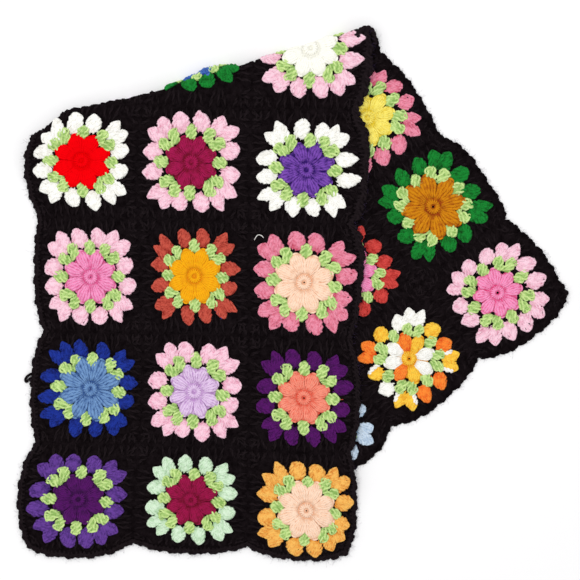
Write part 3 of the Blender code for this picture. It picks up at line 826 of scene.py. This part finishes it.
def make_square(square):
    place = (square.row, square.column)
    draw = np.random.default_rng(100 * square.row + square.column)
    worked = Worked()
    facing = -1 if square.row > TOP_ROWS else 1
    turn = math.radians(square.turn)
    changing = place == CHANGING
    yarns = ["black", square.flower, "leaf", square.buds]
    if changing:
        yarns += ["gold", "white"]

    def finishes_at(angle, table, usual):
        if not changing:
            return [usual]
        own = angle if facing > 0 else math.pi - angle
        return [yarns.index(yarn) for yarn in nearest(table, own)]

    work_ring(worked, square, yarns.index(CHANGING_RING) if changing else FLOWER)
    for petal in range(PETALS):
        angle = math.radians((petal + 0.5) * 360.0 / PETALS) + turn + draw.normal(scale=0.02)
        finish, = finishes_at(angle - turn, CHANGING_PETALS, FLOWER)
        work_petal(worked, draw, angle, square, finish)
    leaf, bud = LEAF_MANNER, BUD_MANNER
    if square.hidden:
        leaf, bud = (manner._replace(post=HIDDEN_POST) for manner in (leaf, bud))
    for side in range(4):
        angle = math.pi / 2 * side + turn + draw.normal(scale=GROUP_TURNS)
        work_group(worked, draw, leaf, angle, LEAF_SIDE, LEAF,
                   shift=(draw.normal(scale=0.8), 0))
        for mirror in (-1, 1):
            aside = mirror * BUD_SINGLE_ASIDE + draw.normal(scale=0.6)
            skewed = angle + draw.normal(scale=0.015)
            drawn_in = CROWDED_BUDS.get((*place, side, mirror), 0.0)
            work_group(worked, draw, bud, skewed, BUD_SINGLE,
                       finishes_at(angle - turn + mirror * BUD_STEP, CHANGING_BUDS, BUDS),
                       mirror=facing,
                       shift=(draw.normal(-drawn_in, scale=0.9), aside),
                       lean=draw.normal(0.4, scale=1.2) * facing, spread=square.full)
        angle += math.pi / 4 + draw.normal(scale=GROUP_TURNS)
        drawn_in = CROWDED_EARS.get((*place, side), 0.0)
        ear_finishes = finishes_at(angle - turn, CHANGING_BUDS, BUDS)
        for mirror in (-1, 1):
            work_group(worked, draw, leaf, angle, LEAF_CORNER, LEAF, mirror=mirror)
            work_group(worked, draw, bud, angle, BUD_EAR, ear_finishes,
                       mirror=mirror, spread=square.full,
                       shift=(draw.normal(-drawn_in, scale=1.0), draw.normal(scale=0.5)))
    worked.size_up((square.wide, square.long), (square.aside * facing, square.ahead))
    if place in LOOSE_ENDS:
        yarn, (start, middle, end) = LOOSE_ENDS[place]
        worked.strands(through([start], [middle], [end], steps=8), radius=0.45,
                       finish=len(yarns), depth=(0.0, 5.5))
        yarns.append(yarn)
    work_black(worked, draw, square)

    def lay(places):
        height = np.maximum(places[:, 2], LEAST_HEIGHT) * MM
        if square.hidden:
            height = np.minimum(height, CLOTH) + HIDDEN_RELIEF * np.maximum(height - CLOTH, 0)
        if facing < 0:
            height = CLOTH - height
        u, v = in_square(square.row, square.column, square.swell,
                         places[:, 0] / HALF_WIDTH * facing, places[:, 1] / HALF_LENGTH)
        return lay_down(np.column_stack([on_sheet(u, v), height]))

    name = f"square_r{square.row}_c{square.column}"
    piece = make_piece(name + "_crochet", worked, lay, yarns)
    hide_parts(name)
    square.buds.replace(" ", "_") + "_yarn"
    return piece


# ---- Edging ----

EDGING_FINE = 5  # steps of the cord to one of the solid's
EDGING_LIFT = 2.35
CORD_INSET = 2.2  # mm, from the outline to the cord's line
CORD_PITCH = 11.5
CORD_STRAND = 1.35
CORD_TWIST = 1.15
CORD_KNOB = 0.75  # how far the cord bulges at each of its knobs
KNOB_PITCH = 12.0
BACKING_INSET = 1.9  # a plain strand behind the cord closes the work between its knobs
BACKING_THICK = 1.8
STITCH_EVERY = 2  # cord steps to one edging stitch
STITCH_FOOT = 7.6
STITCH_HEAD = 2.6
STITCH_HEIGHTS = (2.2, 2.8, 2.5)
PAIR = (0.0, math.pi)  # turns at which two strands wound about each other start


def edging_line(inset):
    """Flat places, in metres, along the blanket's outer edge, inset by some millimetres."""
    columns, rows = range(1, COLUMNS + 1), range(1, ROWS + 1)
    sides = [((1, column), "near") for column in columns]
    sides += [((row, COLUMNS), "right") for row in rows]
    sides += [((ROWS, column), "far") for column in columns[::-1]]
    sides += [((row, 1), "left") for row in rows[::-1]]
    steps = SHELL_STEPS * EDGING_FINE
    line = []
    for number, (place, side) in enumerate(sides):
        square = AT_PLACE[place]
        step = np.arange(steps) / EDGING_FINE
        travel = 2.0 * step / SHELL_STEPS - 1.0
        swell = -SHELL_SWELL * np.cos(math.pi * (step + number * SHELL_STEPS))
        half = HALF_WIDTH if side in ("left", "right") else HALF_LENGTH
        outward = 1.0 + swell - inset / half
        first, last = ((square.column > 1, square.column < COLUMNS) if side in ("near", "far")
                       else (square.row > 1, square.row < ROWS))
        if side in ("far", "left"):
            travel = -travel
        travel = np.clip(travel, -np.where(first, 1.0, outward), np.where(last, 1.0, outward))
        a, b = {"near": (travel, -outward), "right": (outward, travel),
                "far": (travel, outward), "left": (-outward, travel)}[side]
        u, v = in_square(square.row, square.column, square.swell, a, b)
        line.append(on_sheet(u, v))
    return np.concatenate(line)


def lay_edge(places):
    return lay_down(places * MM)


def make_edging():
    """A wound cord along the outline, a strand behind it, and stitches from it to the squares."""
    draw = np.random.default_rng(7)
    worked = Worked()
    line = edging_line(CORD_INSET) / MM
    line = np.vstack([line, line[:2]])
    outward = to_the_right(unit_length(np.gradient(line, axis=0)))
    run = distance_along(line)
    length = run[-2]
    angle = math.tau * round(length / CORD_PITCH) * run / length
    knob = CORD_KNOB * np.cos(math.tau * round(length / KNOB_PITCH) * run / length)
    cord = [wound(line, EDGING_LIFT, outward, angle + start, CORD_TWIST, knob) for start in PAIR]
    worked.strands(cord, CORD_STRAND, BLACK, sides=5, depth=BLACK_SHADE_HEIGHTS)
    backing = as_path(*(line - outward * BACKING_INSET).T, EDGING_LIFT)
    worked.strands([backing], BACKING_THICK, BLACK, sides=5, depth=BLACK_SHADE_HEIGHTS)
    feet, heads = (edging_line(inset)[::STITCH_EVERY] / MM for inset in (STITCH_FOOT, STITCH_HEAD))
    feet = feet + draw.normal(scale=0.4, size=feet.shape)
    heads = heads + draw.normal(scale=0.3, size=heads.shape)
    stroke = [as_path(*places.T, height)
              for places, height in zip((feet, (feet + heads) / 2, heads), STITCH_HEIGHTS)]
    posts = post_paths(through(*stroke, EDGING_POST.steps), EDGING_POST, draw)
    worked.strands(posts, EDGING_POST.strand, BLACK, sides=EDGING_POST.sides, depth=BLACK_SHADE_HEIGHTS)
    piece = make_piece("edging_crochet", worked, lay_edge, ["black"])
    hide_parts("edging")
    return piece


# Loops of the edging's yarn that stand off it: the strand's radius, how far two strands wind
# about each other (0 for a single one), and the places they run through, all in mm.
Loop = namedtuple("Loop", "thick twist places")
LOOP_PITCH = 9.0
EDGE_LOOPS = (
    # over the end of the fold
    Loop(2.1, 1.5, ((73, 288, 20), (77, 295, 19), (83.5, 298, 17), (89, 296.5, 15),
                    (92, 291.5, 13), (92.5, 285.5, 12), (93.5, 280, 11))),
    # a knob at the right corner
    Loop(1.7, 1.2, ((302, -1.5, 3.2), (307, -1.5, 3.6), (309.5, 1.5, 3.4), (307.5, 4.5, 3.6),
                    (302, 4.5, 3.2))),
    # a slack loop at the left side
    Loop(1.5, 0.0, ((-289, -87.5, 3.6), (-295.5, -90, 3.2), (-299.5, -95, 2.4),
                    (-298, -98.5, 2.2), (-295, -95, 2.6), (-289, -91.5, 3.4))),
)
CORNER_CUTS = 2
CUT = 0.25  # share of each step that a cut takes off either end


def rounded(places):
    """A path with its corners cut, as yarn bends."""
    path = np.array(places, float)
    for _ in range(CORNER_CUTS):
        before = (1 - CUT) * path[:-1] + CUT * path[1:]
        after = CUT * path[:-1] + (1 - CUT) * path[1:]
        between = np.stack([before, after], axis=1).reshape(-1, 3)
        path = np.vstack([path[:1], between, path[-1:]])
    return path


def make_edge_loops():
    worked = Worked()
    for loop in EDGE_LOOPS:
        line = rounded(loop.places)
        outward = to_the_right(unit_length(np.gradient(line[:, :2], axis=0)))
        angle = math.tau * distance_along(line) / LOOP_PITCH
        for start in PAIR if loop.twist else PAIR[:1]:
            path = wound(line[:, :2], line[:, 2], outward, angle + start, loop.twist)
            # painted shade over nearly all of each loop
            worked.strands([path], loop.thick, BLACK, sides=7, depth=(0.0, 20.0))
    piece = make_piece("edging_loops", worked, lambda places: places * MM, ["black"])
    return piece


# ---- The black ground behind the stitches ----

GROUND_STEPS = 24  # cells along a square's side
GROUND_BACK = 0.8
GROUND_FRONT = 2.1
GROUND_UNEVEN = 0.25
GROUND_MARGIN = 3.5  # mm inside the outline
GROUND_PLIES = (0.2, 1.0)  # of the plies' pattern to a mm, across and along


def make_ground():
    """One thin closed sheet that carries the stitches from edge to edge."""
    across = np.linspace(0.0, COLUMNS, COLUMNS * GROUND_STEPS + 1)
    along = np.linspace(0.0, ROWS, ROWS * GROUND_STEPS + 1)
    for side, half in ((across, HALF_WIDTH), (along, HALF_LENGTH)):
        side[0] += GROUND_MARGIN / (2 * half)
        side[-1] -= GROUND_MARGIN / (2 * half)
    grid_u, grid_v = (side.ravel() for side in np.meshgrid(across, along))
    column = np.clip(np.floor(grid_u).astype(int) + 1, 1, COLUMNS)
    row = np.clip(np.floor(grid_v).astype(int) + 1, 1, ROWS)
    swell = np.array([AT_PLACE[place].swell for place in zip(row, column)])
    u, v = in_square(row, column, swell, 2 * (grid_u - column + 0.5), 2 * (grid_v - row + 0.5))
    flat = on_sheet(u, v)
    bumps = np.random.default_rng(11).normal(0.0, GROUND_UNEVEN, len(flat))
    front = as_path(*flat.T, (GROUND_FRONT + bumps) * MM)
    back = as_path(*flat.T, GROUND_BACK * MM)
    number = np.arange(len(flat)).reshape(len(along), len(across))
    quads = np.stack([number[:-1, :-1], number[:-1, 1:], number[1:, 1:], number[1:, :-1]],
                     axis=-1).reshape(-1, 4)
    rim = np.concatenate([number[0, :-1], number[:-1, -1], number[-1, :0:-1], number[:0:-1, 0]])
    after = np.roll(rim, -1)
    wall = np.column_stack([rim, rim + len(flat), after + len(flat), after])
    faces = np.concatenate([quads, quads[:, ::-1] + len(flat), wall])
    worked = Worked()
    worked.places = [np.concatenate([front, back])]
    worked.faces = faces.tolist()
    worked.uvs = [flat[faces.ravel() % len(flat)] / MM * GROUND_PLIES]
    worked.finishes = [np.full(len(faces), BLACK)]
    # the whole ground takes the black's painted shade colour
    worked.painted_shades = [np.ones(2 * len(flat))]
    piece = make_piece("ground_cloth", worked, lay_down, ["black"])
    return piece


# ---- Loose fibres ----

HAIRS = 3000
HAIR_INSET = 1.4
HAIR_LOWEST = 0.3


def make_fuzz():
    """Fine fibres that stand off the edging."""
    draw = np.random.default_rng(23)
    worked = Worked()
    line = edging_line(HAIR_INSET) / MM
    ahead = unit_length(np.roll(line, -1, axis=0) - line)
    outward = to_the_right(ahead)
    pick = draw.integers(0, len(line), HAIRS)
    length = draw.gamma(shape=3.0, scale=1.1, size=HAIRS)[:, None]
    sways = draw.normal(scale=0.9, size=(HAIRS, 2))
    start = line[pick] + draw.normal(scale=0.5, size=(HAIRS, 2))
    root = as_path(*start.T, draw.uniform(low=0.8, high=4.2, size=HAIRS))
    lift = draw.normal(scale=0.4, size=(HAIRS, 1))
    places = [root]
    for sway in sways.T:
        reach = unit_length(outward[pick] + ahead[pick] * sway[:, None])
        places.append(places[-1] + np.column_stack([reach * length / 2, lift]))
    for place in places[1:]:
        place[:, 2] = np.maximum(place[:, 2], HAIR_LOWEST)
    worked.strands(through(*places, steps=4), radius=0.06, finish=BLACK, sides=3,
                   depth=BLACK_SHADE_HEIGHTS)
    piece = make_piece("loose_fibres", worked, lay_edge, ["smoke"])
    return piece


# ---- Floor, light and camera ----

FLOOR_HALF = 25.0
CAMERA_HEIGHT = 1.8
CAMERA_AIM = (-0.0015, 0.0054, 0.009)
FRAME_WIDTH = 0.6496
SENSOR = 36.0


def make_camera():
    data = bpy.data.cameras.new("overhead")
    data.sensor_width = SENSOR
    data.lens = SENSOR * CAMERA_HEIGHT / FRAME_WIDTH
    camera = add_object("overhead", data)
    camera.location = (CAMERA_AIM[0], CAMERA_AIM[1], CAMERA_AIM[2] + CAMERA_HEIGHT)
    bpy.context.scene.camera = camera


def make_floor():
    data = bpy.data.meshes.new("floor")
    corners = [(-1, -1), (1, -1), (1, 1), (-1, 1)]
    data.from_pydata([(x * FLOOR_HALF, y * FLOOR_HALF, 0) for x, y in corners], [], [range(4)])
    floor = add_object("floor", data)
    material = bpy.data.materials.new("pale_floor")
    material.use_nodes = True
    shader = material.node_tree.nodes["Principled BSDF"].inputs
    shader["Base Color"].default_value = (0.93, 0.925, 0.93, 1.0)
    shader["Roughness"].default_value = 0.9
    shader["Specular IOR Level"].default_value = 0.1
    data.materials.append(material)


def make_light():
    """An even white surround and a lamp that points at the floor's middle."""
    world = bpy.data.worlds.new("studio")
    world.use_nodes = True
    surround = world.node_tree.nodes["Background"].inputs
    surround["Color"].default_value = (1.0, 1.0, 1.0, 1.0)
    surround["Strength"].default_value = 0.75
    bpy.context.scene.world = world
    lamp = bpy.data.lights.new("softbox", "AREA")
    lamp.shape = "RECTANGLE"
    lamp.size = lamp.size_y = 1.6
    lamp.energy = 22.0
    box = add_object("softbox", lamp)
    box.location = (-0.35, 0.45, 2.1)
    x, y, z = box.location
    box.rotation_euler = (math.atan2(-y, z), math.atan2(x, z), 0.0)
    bpy.context.scene.view_settings.view_transform = "Standard"


make_camera()
make_floor()
make_light()
squares = [make_square(square) for square in SQUARES]
edging = make_edging()
loops = make_edge_loops()
ground = make_ground()
fuzz = make_fuzz()

bpy.context.view_layer.update()
